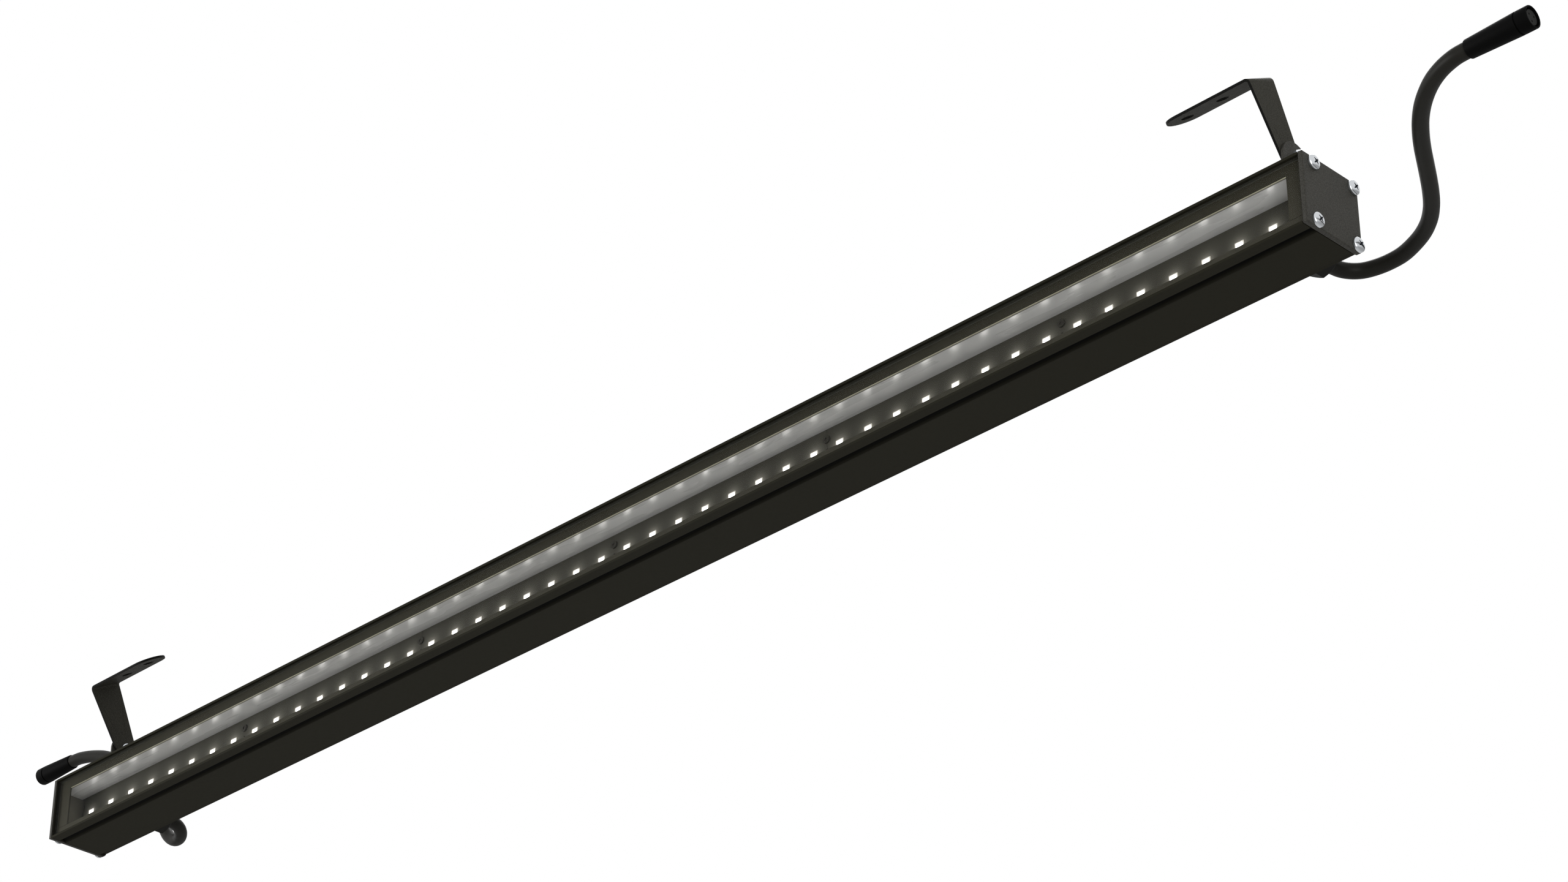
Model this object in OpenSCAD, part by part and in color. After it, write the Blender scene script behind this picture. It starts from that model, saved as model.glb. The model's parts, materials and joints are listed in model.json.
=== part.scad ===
// Linear LED light fixture for walls, canopies and gardens: a long aluminium bar with a glazed
// window along its front, hung from two bent steel brackets that it tilts in, with a cable
// and a round plug connector at each end.
//
// Millimetres. The origin is on the surface that the fixture hangs from, at mid-length:
// +X runs along the bar, +Z points up into that surface, and the feet of the brackets touch Z = 0.
// The bar itself is drawn in its own frame (X along it, Y from its front to its back, Z across it)
// and placed by in_bar().

/* [Bar] */
// Overall length of the bar with its end plates
bar_length = 1000; // [700:10:1000]
// Depth of the bar from its front lips to its back
bar_depth = 42.4; // [41:0.1:46]
// Height of the bar across its two sides
bar_height = 40.3; // [39.6:0.1:44]
// Wall of the front lips beside the glass
lip_wall = 1.45; // [1.2:0.05:1.8]
// Wall of the sides behind the grooves
side_wall = 1.8; // [1.4:0.1:2.2]
// How far the rear section is set in from the sides
rear_set_in = 1.75; // [1.15:0.05:1.85]
// Depth of the rear section that is set in
rear_section = 5.4; // [4.4:0.1:6.4]
// Thickness of the back wall
back_wall = 2; // [1.6:0.1:2.4]
// Lean of the brackets from the bar's own upright
tilt = 28.3; // [0:0.1:60]

/* [Window] */
// How far the glass lies behind the lips
glass_recess = 1.2; // [0.8:0.1:1.4]
// Thickness of the glass
glass_t = 2.5; // [2:0.1:2.7]
// Thickness of the gasket behind the glass
gasket_t = 1; // [0.8:0.1:1.2]
// Distance of the clear window from the bar's sides
window_inset = 7.45; // [7.35:0.05:8]
// Width of the gasket strip at each end of the window
end_strip_w = 10; // [8:0.5:12]
// Thickness of the white reflector liners
liner_t = 0.8; // [0.6:0.1:1]

/* [LEDs] */
// Distance of the face of the LED boards from the bar's back
board_d = 22.1; // [21.8:0.1:22.9]
// Thickness of the LED boards
board_t = 1.6; // [1.2:0.1:2]
// LED boards in a row: one at each end and the rest between them
boards = 3; // [3:1:6]
// Clearance at each end of the row of LED boards
board_row_gap = 1.8; // [0.5:0.1:5]
// Pitch of the LEDs on a board, which takes as many as fit
led_pitch = 20.75; // [12:0.05:30]
// Side of an LED
led_side = 5.5; // [3:0.1:6]
// Thickness of an LED
led_t = 0.6; // [0.4:0.1:0.9]
// Distance of the board screws from a board's edges
board_screw_inset = 7.1; // [5.3:0.1:7.8]

/* [End plates] */
// Thickness of an end plate
plate_t = 2.5; // [2:0.1:3]
// Thickness of the gasket under an end plate
plate_gasket_t = 0.5; // [0.3:0.1:0.8]
// Distance of the end screws from the bar's sides
port_inset = 3.85; // [3.75:0.05:3.95]
// Distance of the front end screws behind the ledge for the glass
front_port_d = 3.3; // [3.1:0.1:3.5]
// Distance of the rear end screws from the bar's back
rear_port_d = 3.7; // [3.6:0.1:4]
// Radius of an end screw's shank
end_screw_r = 1.45; // [1.3:0.05:1.5]
// Radius of an end screw's head
end_head_r = 4; // [3:0.1:4]
// Height of an end screw's head
end_head_h = 2.4; // [1.8:0.1:2.6]

/* [Brackets] */
// Distance from the pivot up to the mounting surface
drop = 45.5; // [44:0.5:60]
// Thickness of the bracket sheet
strap_t = 1.5; // [1.2:0.1:2]
// Distance from the end of the bar to the outer face of a bracket's strap
strap_inset = 28.6; // [28:0.1:60]
// Half-width of a strap at its pivot
strap_pivot_r = 7.5; // [7:0.1:9]
// Half-width of a bracket's foot
foot_r = 11; // [10:0.1:14]
// Distance of the first mounting hole from the outer face of the strap
hole_near = 24.2; // [22:0.1:28]
// Spacing of the two mounting holes
hole_pitch = 22.3; // [18:0.1:26]
// Radius of the mounting holes
hole_r = 3.3; // [2.2:0.1:4]

/* [Pivots] */
// Distance of the pivot from the bar's back
pivot_d = 10.5; // [10.4:0.1:11.4]
// Height of the pivot above the bar's side
pivot_rise = 21.75; // [20.85:0.05:30]
// Thickness of a pivot lug
lug_t = 1.5; // [1.2:0.1:2]
// Radius of the lug's round top
lug_r = 10.2; // [9:0.1:10.3]
// Radius of the pivot bolt
bolt_r = 2; // [1.6:0.1:3]
// Thickness of the washer between lug and strap
washer_t = 0.4; // [0.3:0.1:0.8]

/* [Cables] */
// Distance from the end of the bar to a cable gland
gland_inset = 36.4; // [36:0.1:60]
// Height of the glands above the bar's middle line
gland_z = 1.6; // [0:0.1:2]
// Radius of a gland's thread
gland_r = 7.6; // [6.5:0.1:7.8]
// Width across flats of a gland
gland_af = 18; // [17:0.1:19]
// Height of a gland above its seal
gland_h = 17.9; // [17:0.1:19]
// Radius of a cable
cable_r = 4.1; // [3:0.1:4.2]
// Length of a connector
connector_length = 35; // [28:1:45]
// Radius of a connector at its open end
connector_r = 5.75; // [5.4:0.05:7]

/* [Hidden] */
$fn = 48;

// Clearances
slip = 0.1;          // between sheet edges, boards and the walls beside them
thread_gap = 0.05;   // between a screw and the hole that it is driven into
pass_gap = 0.25;     // between a screw and the hole that it passes through
run_gap = 0.05;      // between a bracket and what it turns on or beside

// Bar, from the front to the back
half_h = bar_height / 2;
rear_half_height = half_h - rear_set_in;
rear_step = bar_depth - rear_section;
window_half_height = half_h - window_inset;
plate_in_x = bar_length / 2 - plate_t;
bar_end_x = plate_in_x - plate_gasket_t;
glass_back = glass_recess + glass_t;
ledge_y = glass_back + gasket_t;
ledge_t = 0.8;
recess_half = half_h - lip_wall;
channel_half = window_half_height - slip + liner_t;
board_face = bar_depth - board_d;
web_face = board_face + board_t;
web_t = 2.5;
web_back = web_face + web_t;
chamber_back = bar_depth - back_wall;
port_z = half_h - port_inset;
front_port_y = ledge_y + front_port_d;
rear_port_y = bar_depth - rear_port_d;
port_r = end_screw_r + thread_gap;
port_boss = 0.95;
groove_y0 = ledge_y + 1.4;
groove_y1 = groove_y0 + 4.9;
groove_depth = 1.75;
back_chamfer = 0.8;
channel_wall = 1.5;
block_back = front_port_y + 4.4;
plate_corner_r = 3;
plate_edge = 0.5;

// LED boards and their screws
board_gap = 0.2;
board_pitch = (2 * (bar_end_x - board_row_gap) + board_gap) / boards;
board_l = board_pitch - board_gap;
board_half = channel_half - slip;
board_screw_z = board_half - board_screw_inset;
board_row = (boards - 1) / 2 * board_pitch;
board_xs = [for (i = [0 : boards - 1]) i * board_pitch - board_row];
board_screw_xs = [for (i = [0 : 2 * boards - 2]) i * board_pitch / 2 - board_row];
led_edge_gap = 1;
leds_per_board = 1 + floor((board_l - led_side - 2 * led_edge_gap) / led_pitch);
board_screw_r = 1.5;
board_head_r = 2.3;
board_head_h = 0.9;
board_screw_l = 4.6;
locating_r = 0.9;
lead_hole_x = board_row + board_pitch / 2 - 5;
lead_hole_z = -(board_half - 4.8);
lead_hole_r = 2;
link_pitch = 2;
link_l = 8;
link_w = 1;
link_zs = [for (k = [0, 1]) -(board_half - 3.7) - k * link_pitch];

// End screws
end_screw_l = 14;
recess_arm = 2.3;
recess_w = 0.9;
recess_deep = 1.3;
port_yz = [for (y = [front_port_y, rear_port_y], side = [-1, 1]) [y, side * port_z]];

// Control board in the rear chamber, on four spacers
control_l = 210;
control_w = 24;
control_t = 1.6;
spacer_h = 4.2;
spacer_r = 2.6;
control_face = web_back + spacer_h;
control_back = control_face + control_t;
control_hole_x = control_l / 2 - 6;
control_hole_z = control_w / 2 - 4;
control_holes = [for (x = [-1, 1], z = [-1, 1]) [x * control_hole_x, z * control_hole_z]];
terminal_x = control_l / 2 - 16;
terminal_l = 12;
terminal_w = 10;
chamber_depth = chamber_back - control_back;
terminal_h = chamber_depth - 3.7;
capacitor_h = chamber_depth - 2;
capacitor_r = 5;
capacitor_edge = 0.6;
capacitor_xs = [-52, -34];
inductor_h = chamber_depth - 3.7;
inductor_r = 8.5;
inductor_bore_r = 3.6;
chip_x = 38;
chip_l = 16;
chip_w = 12;
chip_h = 2.2;

// Pivots: everything on the bolt's line, outwards from the strap
pivot_y = bar_depth - pivot_d;
pivot_z = half_h + pivot_rise;
strap_out_x = bar_length / 2 - strap_inset;
strap_in_x = strap_out_x - strap_t;
lug_in_x = strap_out_x + run_gap + washer_t;
lug_out_x = lug_in_x + lug_t;
nut_washer_t = 1;
nut_washer_x = strap_in_x - run_gap - nut_washer_t;
nut_h = 3.2;
nut_x = nut_washer_x - nut_h;
nut_af = 7;
bolt_tip = 1.2;
bolt_head_r = 3.8;
bolt_head_h = 2.2;
bolt_socket_r = 1.4;
pivot_washer_r = 5;
nut_washer_r = 4.4;
strap_hole_r = bolt_r + run_gap;
lug_front_y = pivot_y - lug_r;
lug_back_y = min(pivot_y + lug_r, bar_depth - 0.4);
lug_foot_t = 2;
lug_foot_w = 15;
lug_screw_r = 2;
lug_head_r = 3.4;
lug_head_h = 1.4;
lug_screw_l = lug_foot_t + side_wall;
lug_screw_x = lug_in_x + lug_foot_w / 2 + 1;
lug_screw_ys = [lug_front_y + lug_head_r + 0.3, rear_step - lug_head_r - 0.3];
strap_flare_z = 2;
bend_r = 3;
foot_tip_x = strap_out_x - hole_near - hole_pitch;
hole_xs = [strap_out_x - hole_near, foot_tip_x];

// Glands
gland_x = bar_length / 2 - gland_inset;
seal_t = 1.2;
seal_r = 8.9;
hex_r = gland_af / 2 / cos(30);
gland_base = bar_depth + seal_t;
hex_h = 5;
nut_gap = 0.8;
nut_base = gland_base + hex_h + nut_gap;
gland_top = gland_base + gland_h;
body_top = gland_top - 6;
locknut_t = 2.8;
thread_tip = 1;
exit_r = cable_r + 0.6;
grommet_r = cable_r + 1.5;
thread_in = chamber_back - locknut_t - thread_tip;

// Cables: the sheath ends inside the bar, runs out through its gland and on in free air. These
// points are counted from the gland's mouth: outwards along the bar, to the back, and up.
sheath_end_y = thread_in - 1.5;
cable_sides = 10;
right_run = [
    [0, 0, 0], [0, 5.5, 0], [1, 11.5, 0], [3.9, 16.5, 0], [8.4, 20.2, 0], [14.9, 22.3, 0],
    [22.4, 23, 0], [30.9, 22.1, 0], [39.9, 18.8, 0], [49.4, 13.7, 0], [58.4, 6.5, 0],
    [66.4, -2.5, 0], [73.4, -12.5, 0], [79.9, -23, 0], [86.4, -34, 0], [92.9, -45, 0],
    [99.4, -55, 0], [106.4, -64.5, 0], [113.9, -73, 0], [121.9, -80.3, 0], [129.9, -86.1, 0],
    [138.4, -90.4, 0], [146.4, -92.8, 0], [151.4, -93.3, 0], [154.4, -93.3, 0]
];
left_run = [
    [0, 0, 0], [0, 4, 0], [0.8, 9, -0.4], [3.2, 13.7, -1.2], [7.2, 17.7, -2],
    [12.4, 20.7, -2.2], [18.4, 22.5, -1.2], [24.2, 23.3, 1.4], [29.2, 23.5, 5.6],
    [33.4, 23.5, 11.4], [38, 23.5, 18.4], [44.4, 23.2, 27.9], [52.4, 23, 38.4],
    [62.4, 23, 51.9], [75.4, 23, 65.4], [90.4, 23, 77.9], [106.4, 23, 86.9], [122.4, 23, 92.7],
    [135.4, 23, 95.9], [142.4, 23, 96.7], [145.9, 23, 96.7]
];
function routed(side, run) =
    [for (p = run) [side * (gland_x + p[0]), gland_top + p[1], gland_z + p[2]]];
right_route = routed(1, right_run);
left_route = routed(-1, left_run);
right_end = right_route[len(right_route) - 1];
left_end = left_route[len(left_route) - 1];

// Connectors, from the cable outwards
connector_tail_r = cable_r + 0.7;
connector_groove = 7.3;
groove_w = 0.8;
socket_depth = 6.4;
socket_r = connector_r - 0.85;
insert_r = socket_r - 1;
insert_face = 0.8;
contact_r = 0.5;
contact_circle = 2.1;
contact_l = 5;
contact_recess = 1.5;
contacts = 3;

// Leads inside the bar
core_r = 0.8;
core_sides = 8;
core_fan = 2.1;
core_y = sheath_end_y - 4.7;
core_straight = 14;
core_spread = 12;
core_run_in = 30;

// Places a piece drawn in the bar's frame: the pivot hangs below the mounting surface
module in_bar() {
    translate([0, 0, -drop])
        rotate([-tilt, 0, 0])
            translate([0, -pivot_y, -pivot_z])
                children();
}

// Runs an outline drawn in (Y, Z) along X from x0 to x1
module along_x(x0, x1) {
    translate([x0, 0, 0])
        rotate([90, 0, 90])
            linear_extrude(x1 - x0)
                children();
}

// Round bar along X, from x0 to x1
module rod_x(x0, x1, y, z, r) {
    translate([x0, y, z])
        rotate([0, 90, 0])
            cylinder(h = x1 - x0, r = r);
}

// Round bar along Y, from y0 to y1
module rod_y(x, y0, y1, z, r) {
    translate([x, y0, z])
        rotate([-90, 0, 0])
            cylinder(h = y1 - y0, r = r);
}

// Cube given by its corners
module block(a, b) {
    translate(a)
        cube(b - a);
}

// Six-sided prism along Z with a corner on the X axis
module hex_prism(h, across) {
    cylinder(h = h, r = across / 2 / cos(30), $fn = 6);
}

// A swept tube: one ring of points at every point of the route, turned as little as possible
// from ring to ring
function unit(v) = v / norm(v);
function heading(p, i) =
    unit(p[min(i + 1, len(p) - 1)] - p[max(i - 1, 0)]);
function carried(n, t) = unit(n - (n * t) * t);
function normals(p, i = 0, n = [0, 0, 1]) =
    i == len(p) ? [] :
    let (m = carried(n, heading(p, i)))
    concat([m], normals(p, i + 1, m));
function ring_at(c, t, n, r, sides) =
    let (b = cross(t, n))
    [for (k = [0 : sides - 1])
        let (a = 360 * (k + 0.5) / sides)
        c + r * (cos(a) * n + sin(a) * b)];
function side_faces(rings, sides) =
    [for (i = [0 : rings - 2], k = [0 : sides - 1])
        let (q = (k + 1) % sides)
        [i * sides + k, i * sides + q, (i + 1) * sides + q, (i + 1) * sides + k]];
module tube(route, r, sides, start = [0, 0, 1]) {
    n = normals(route, 0, start);
    count = len(route);
    points = [for (i = [0 : count - 1]) each ring_at(route[i], heading(route, i), n[i], r, sides)];
    caps = [
        [for (k = [0 : sides - 1]) sides - 1 - k],
        [for (k = [0 : sides - 1]) (count - 1) * sides + k]
    ];
    polyhedron(points, [for (f = concat(caps, side_faces(count, sides))) [for (k = f) k]], convexity = 8);
}

// The bar's section: front lips, ledge for the glass, LED channel, web, rear chamber, screw ports.
// Outlines that cross the middle line are given by their upper half.
function both_halves(p) = concat(p, [for (i = [len(p) - 1 : -1 : 0]) [p[i][0], -p[i][1]]]);
module outer_outline() {
    polygon(both_halves([
        [0, half_h], [groove_y0, half_h], [groove_y0, half_h - groove_depth],
        [groove_y0 + 2, half_h - groove_depth], [groove_y0 + 3.4, half_h - groove_depth * 0.72],
        [groove_y0 + 4.3, half_h - groove_depth * 0.3], [groove_y1, half_h],
        [rear_step, half_h], [rear_step, rear_half_height], [bar_depth - back_chamfer, rear_half_height],
        [bar_depth, rear_half_height - back_chamfer]
    ]));
}
module front_hollow() {
    polygon(both_halves([
        [-1, recess_half], [ledge_y, recess_half], [ledge_y, channel_half - liner_t],
        [ledge_y + ledge_t, channel_half - liner_t], [ledge_y + ledge_t, channel_half],
        [web_face, channel_half]
    ]));
}
module rear_hollow() {
    boss_y = rear_port_y - port_r - port_boss;
    boss_z = port_z - port_r - port_boss;
    polygon(both_halves([
        [web_back, half_h - side_wall], [boss_y - 1, half_h - side_wall],
        [boss_y, boss_z], [chamber_back, boss_z]
    ]));
}
module side_hollow() {
    translate([block_back, channel_half + channel_wall])
        square([web_face - block_back, half_h - side_wall - channel_half - channel_wall]);
}
module bar_section() {
    difference() {
        outer_outline();
        front_hollow();
        rear_hollow();
        side_hollow();
        mirror([0, 1]) side_hollow();
        for (p = port_yz)
            translate(p) circle(r = port_r);
    }
}

module housing_extrusion() {
    color("#2c2b26")
        in_bar()
            difference() {
                along_x(-bar_end_x, bar_end_x) bar_section();
                for (x = board_screw_xs, side = [-1, 1])
                    rod_y(x, web_face - 1, web_back + 1, side * board_screw_z, board_screw_r + thread_gap);
                for (side = [-1, 1])
                    rod_y(side * lead_hole_x, web_face - 1, web_back + 1, lead_hole_z, lead_hole_r);
                for (p = control_holes)
                    rod_y(p[0], web_face - 1, web_back + 1, p[1], board_screw_r + thread_gap);
                for (side = [-1, 1])
                    rod_y(side * gland_x, chamber_back - 1, bar_depth + 1, gland_z, gland_r + pass_gap);
                for (side = [-1, 1], y = lug_screw_ys)
                    translate([side * lug_screw_x, y, half_h - side_wall - 1])
                        cylinder(h = side_wall + 2, r = lug_screw_r + thread_gap);
            }
}

// End plates, each with its gasket and four pan-head screws; side is -1 at the left, 1 at the right
module plate_outline(inset) {
    offset(delta = -inset)
        difference() {
            translate([0, -half_h]) square([bar_depth, bar_height]);
            for (side = [-1, 1])
                translate([bar_depth - plate_corner_r, side * (half_h - plate_corner_r)])
                    difference() {
                        translate([0, side > 0 ? 0 : -plate_corner_r - 1])
                            square(plate_corner_r + 1);
                        circle(r = plate_corner_r);
                    }
        }
}
module end_plate(side) {
    color("#4a4842")
        in_bar()
            difference() {
                hull() {
                    mirror([side < 0 ? 1 : 0, 0, 0])
                        along_x(plate_in_x, bar_length / 2 - plate_edge) plate_outline(0);
                    mirror([side < 0 ? 1 : 0, 0, 0])
                        along_x(plate_in_x, bar_length / 2) plate_outline(plate_edge);
                }
                for (p = port_yz)
                    rod_x(min(side * plate_in_x, side * bar_length / 2) - 1,
                          max(side * plate_in_x, side * bar_length / 2) + 1,
                          p[0], p[1], end_screw_r + pass_gap);
            }
}
module end_gasket(side) {
    color("#181818")
        in_bar()
            mirror([side < 0 ? 1 : 0, 0, 0])
                difference() {
                    along_x(bar_end_x, plate_in_x) plate_outline(plate_edge);
                    for (p = port_yz)
                        rod_x(bar_end_x - 1, plate_in_x + 1, p[0], p[1], end_screw_r + pass_gap);
                }
}
// Pan-head screw along +X with its head's seat at x = 0
module pan_screw(shank_r, shank_l, head_r, head_h) {
    rim = head_h / 2;
    dome = head_h - rim;
    difference() {
        rotate([0, 90, 0])
            rotate_extrude()
                polygon(concat(
                    [[0, -shank_l], [shank_r * 0.6, -shank_l], [shank_r, -shank_l + shank_r * 0.6],
                     [shank_r, 0], [head_r, 0], [head_r, rim]],
                    [for (a = [18 : 18 : 72]) [head_r * cos(a), rim + dome * sin(a)]],
                    [[0, head_h]]
                ));
        for (turn = [0, 90])
            rotate([turn + 45, 0, 0])
                translate([head_h - recess_deep, -recess_arm, -recess_w / 2])
                    cube([recess_deep + 1, 2 * recess_arm, recess_w]);
    }
}
module end_screws(side) {
    color("#c9cacb")
        in_bar()
            mirror([side < 0 ? 1 : 0, 0, 0])
                for (p = port_yz)
                    translate([bar_length / 2, p[0], p[1]])
                        pan_screw(end_screw_r, end_screw_l, end_head_r, end_head_h);
}

// Glass and what it lies on
module front_glass() {
    color("#b8c0c0", 0.3)
        in_bar()
            block([-bar_end_x, glass_recess, -recess_half + slip],
                  [bar_end_x, glass_back, recess_half - slip]);
}
module long_gasket(side) {
    color("#3a3933")
        in_bar()
            mirror([0, 0, side < 0 ? 1 : 0])
                block([-bar_end_x, glass_back, window_half_height], [bar_end_x, ledge_y, recess_half - slip]);
}
module short_gasket(side) {
    color("#3a3933")
        in_bar()
            mirror([side < 0 ? 1 : 0, 0, 0])
                block([bar_end_x - end_strip_w, glass_back, -window_half_height],
                      [bar_end_x, ledge_y, window_half_height]);
}
module liner(side) {
    color("#f2f2ee")
        in_bar()
            mirror([0, 0, side < 0 ? 1 : 0])
                block([-bar_end_x + slip, ledge_y + ledge_t, channel_half - liner_t],
                      [bar_end_x - slip, board_face, channel_half]);
}

// LED boards: a half-round notch at each end takes the screws that two boards share
module led_boards(first, last) {
    color("#d9d8d2")
        in_bar()
            difference() {
                for (i = [first : last])
                    block([board_xs[i] - board_l / 2, board_face, -board_half],
                          [board_xs[i] + board_l / 2, web_face, board_half]);
                for (i = [first : last], x = [-1, 0, 1], side = [-1, 1])
                    rod_y(board_xs[i] + x * board_pitch / 2, board_face - 1, web_face + 1,
                          side * board_screw_z, board_screw_r + pass_gap);
                for (i = [first : last], x = [-1, 0, 1])
                    rod_y(board_xs[i] + x * board_pitch / 2, board_face - 1, web_face + 1, 0, locating_r);
                for (side = [-1, 1])
                    rod_y(side * lead_hole_x, board_face - 1, web_face + 1, lead_hole_z, lead_hole_r);
            }
}
module led_rows(first, last) {
    start = -(leds_per_board - 1) / 2 * led_pitch;
    color("#fffbe8")
        in_bar()
            for (i = [first : last], k = [0 : leds_per_board - 1])
                translate([board_xs[i] + start + k * led_pitch, board_face, 0])
                    block([-led_side / 2, -led_t, -led_side / 2], [led_side / 2, 0, led_side / 2]);
}
// Cheese-head screw along +Y with its head's seat at y
module board_screw(x, y, z) {
    difference() {
        union() {
            rod_y(x, y - board_head_h, y, z, board_head_r);
            rod_y(x, y - board_head_h / 2, y + board_screw_l, z, board_screw_r);
        }
        rod_y(x, y - board_head_h - 1, y - board_head_h / 2, z, board_screw_r * 0.6);
    }
}
module board_screws() {
    color("#e4e3dd")
        in_bar()
            for (x = board_screw_xs, side = [-1, 1])
                board_screw(x, board_face, side * board_screw_z);
}
// Solder bridges from board to board
module board_links() {
    color("#c9cacb")
        in_bar()
            for (i = [0 : boards - 2], z = link_zs)
                translate([board_xs[i] + board_pitch / 2, board_face, z])
                    block([-link_l / 2, -led_t, -link_w / 2], [link_l / 2, 0, link_w / 2]);
}

// Control board in the rear chamber
module control_board() {
    color("#1f5a36")
        in_bar()
            difference() {
                block([-control_l / 2, control_face, -control_w / 2], [control_l / 2, control_back, control_w / 2]);
                for (p = control_holes)
                    rod_y(p[0], control_face - 1, control_back + 1, p[1], board_screw_r + pass_gap);
            }
}
module control_spacers() {
    color("#d8d5c8")
        in_bar()
            for (p = control_holes)
                difference() {
                    rod_y(p[0], web_back, control_face, p[1], spacer_r);
                    rod_y(p[0], web_back - 1, control_face + 1, p[1], board_screw_r + pass_gap);
                }
}
module control_screws() {
    color("#c9cacb")
        in_bar()
            for (p = control_holes)
                translate([0, 2 * control_back, 0])
                    mirror([0, 1, 0])
                        board_screw_long(p[0], control_back, p[1]);
}
module board_screw_long(x, y, z) {
    reach = control_back - web_face - 0.3;
    rod_y(x, y - board_head_h, y, z, board_head_r);
    rod_y(x, y - board_head_h / 2, y + reach, z, board_screw_r);
}
module control_capacitors() {
    color("#22252c")
        in_bar()
            for (x = capacitor_xs)
                translate([x, control_back, 0])
                    rotate([-90, 0, 0])
                        rotate_extrude()
                            polygon([[0, 0], [capacitor_r, 0], [capacitor_r, capacitor_h - capacitor_edge],
                                     [capacitor_r - capacitor_edge, capacitor_h], [0, capacitor_h]]);
}
module control_inductor() {
    color("#5a4632")
        in_bar()
            translate([0, control_back, 0])
                rotate([-90, 0, 0])
                    difference() {
                        cylinder(h = inductor_h, r = inductor_r);
                        translate([0, 0, -1]) cylinder(h = inductor_h + 2, r = inductor_bore_r);
                    }
}
module control_driver_chip() {
    color("#17171a")
        in_bar()
            block([chip_x - chip_l / 2, control_back, -chip_w / 2],
                  [chip_x + chip_l / 2, control_back + chip_h, chip_w / 2]);
}
module terminal(side) {
    color("#3f7d4a")
        in_bar()
            mirror([side < 0 ? 1 : 0, 0, 0])
                difference() {
                    block([terminal_x - terminal_l / 2, control_back, -terminal_w / 2],
                          [terminal_x + terminal_l / 2, control_back + terminal_h, terminal_w / 2]);
                    for (k = [-1, 0, 1])
                        rod_x(terminal_x + terminal_l / 2 - 6, terminal_x + terminal_l / 2 + 1,
                              control_back + terminal_h / 2, k * 3, core_r + thread_gap);
                }
}

// Leads inside: three cores of each cable to its terminal block, and the feed to the boards
module cores(side) {
    plug_x = terminal_x + terminal_l / 2 - 5;
    plug_y = control_back + terminal_h / 2;
    color("#7a2f2a")
        in_bar()
            for (k = [-1, 0, 1])
                tube([
                    [side * plug_x, plug_y, k * 3],
                    [side * (plug_x + core_straight), plug_y, k * 3],
                    [side * (plug_x + core_straight + core_spread), core_y, k * core_fan + gland_z],
                    [side * (gland_x - core_run_in), core_y, k * core_fan + gland_z],
                    [side * (gland_x - 10), core_y, k * core_fan + gland_z],
                    [side * (gland_x - 3.5), core_y + 0.6, k * core_fan + gland_z],
                    [side * (gland_x - 0.7), core_y + 2, k * core_fan + gland_z],
                    [side * gland_x, sheath_end_y - 1, k * core_fan + gland_z],
                    [side * gland_x, sheath_end_y, k * core_fan + gland_z]
                ], core_r, core_sides);
}
module led_feed_leads() {
    color("#b8a038")
        in_bar()
            for (side = [-1, 1])
                tube([
                    [side * (control_l / 2 - 1), control_face - core_r, lead_hole_z],
                    [side * (control_l / 2 + 12), control_face - core_r, lead_hole_z],
                    [side * (lead_hole_x - 8), control_face - core_r, lead_hole_z],
                    [side * (lead_hole_x - 2), control_face - core_r - 0.8, lead_hole_z],
                    [side * lead_hole_x, web_back + 0.8, lead_hole_z],
                    [side * lead_hole_x, board_face, lead_hole_z],
                    [side * (lead_hole_x - 1), board_face - core_r, lead_hole_z],
                    [side * (lead_hole_x - 4), board_face - core_r, lead_hole_z]
                ], core_r, core_sides);
}

// Pivot lugs: angle pieces screwed to the top side of the bar, their foot turned outwards
module lug_outline() {
    translate([lug_front_y, half_h])
        square([lug_back_y - lug_front_y, pivot_z - half_h]);
    intersection() {
        translate([pivot_y, pivot_z]) circle(r = lug_r);
        square([lug_back_y, pivot_z + lug_r]);
    }
}
module lug(side) {
    color("#33322d")
        in_bar()
            mirror([side < 0 ? 1 : 0, 0, 0])
                difference() {
                    union() {
                        along_x(lug_in_x, lug_out_x)
                            lug_outline();
                        block([lug_in_x, lug_front_y, half_h],
                              [lug_in_x + lug_foot_w, rear_step, half_h + lug_foot_t]);
                    }
                    rod_x(lug_in_x - 1, lug_out_x + 1, pivot_y, pivot_z, bolt_r + thread_gap);
                    for (y = lug_screw_ys)
                        translate([lug_screw_x, y, half_h - 1])
                            cylinder(h = lug_foot_t + 2, r = lug_screw_r + pass_gap);
                }
}
module lug_screws() {
    color("#c9cacb")
        in_bar()
            for (side = [-1, 1], y = lug_screw_ys)
                translate([side * lug_screw_x, y, half_h + lug_foot_t])
                    rotate([0, -90, 0])
                        pan_screw(lug_screw_r, lug_screw_l, lug_head_r, lug_head_h);
}

// Pivot hardware, drawn for the right side and mirrored: head outside the lug, nut inside the strap
module both_pivots() {
    in_bar()
        for (side = [0, 1])
            mirror([side, 0, 0])
                children();
}
module pivot_bolts() {
    color("#d0d1d2")
        both_pivots()
            difference() {
                union() {
                    rod_x(nut_x - bolt_tip, lug_out_x + 1, pivot_y, pivot_z, bolt_r);
                    translate([lug_out_x, pivot_y, pivot_z])
                        rotate([0, 90, 0])
                            rotate_extrude()
                                polygon(concat(
                                    [[0, 0], [bolt_head_r, 0], [bolt_head_r, bolt_head_h / 3]],
                                    [for (a = [20 : 20 : 80])
                                        [bolt_head_r * cos(a), bolt_head_h / 3 * (1 + 2 * sin(a))]],
                                    [[0, bolt_head_h]]
                                ));
                }
                translate([lug_out_x + bolt_head_h / 3, pivot_y, pivot_z])
                    rotate([0, 90, 0])
                        cylinder(h = bolt_head_h, r = bolt_socket_r, $fn = 6);
            }
}
module ring_x(x0, x1, outer, inner) {
    difference() {
        rod_x(x0, x1, pivot_y, pivot_z, outer);
        rod_x(x0 - 1, x1 + 1, pivot_y, pivot_z, inner);
    }
}
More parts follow.
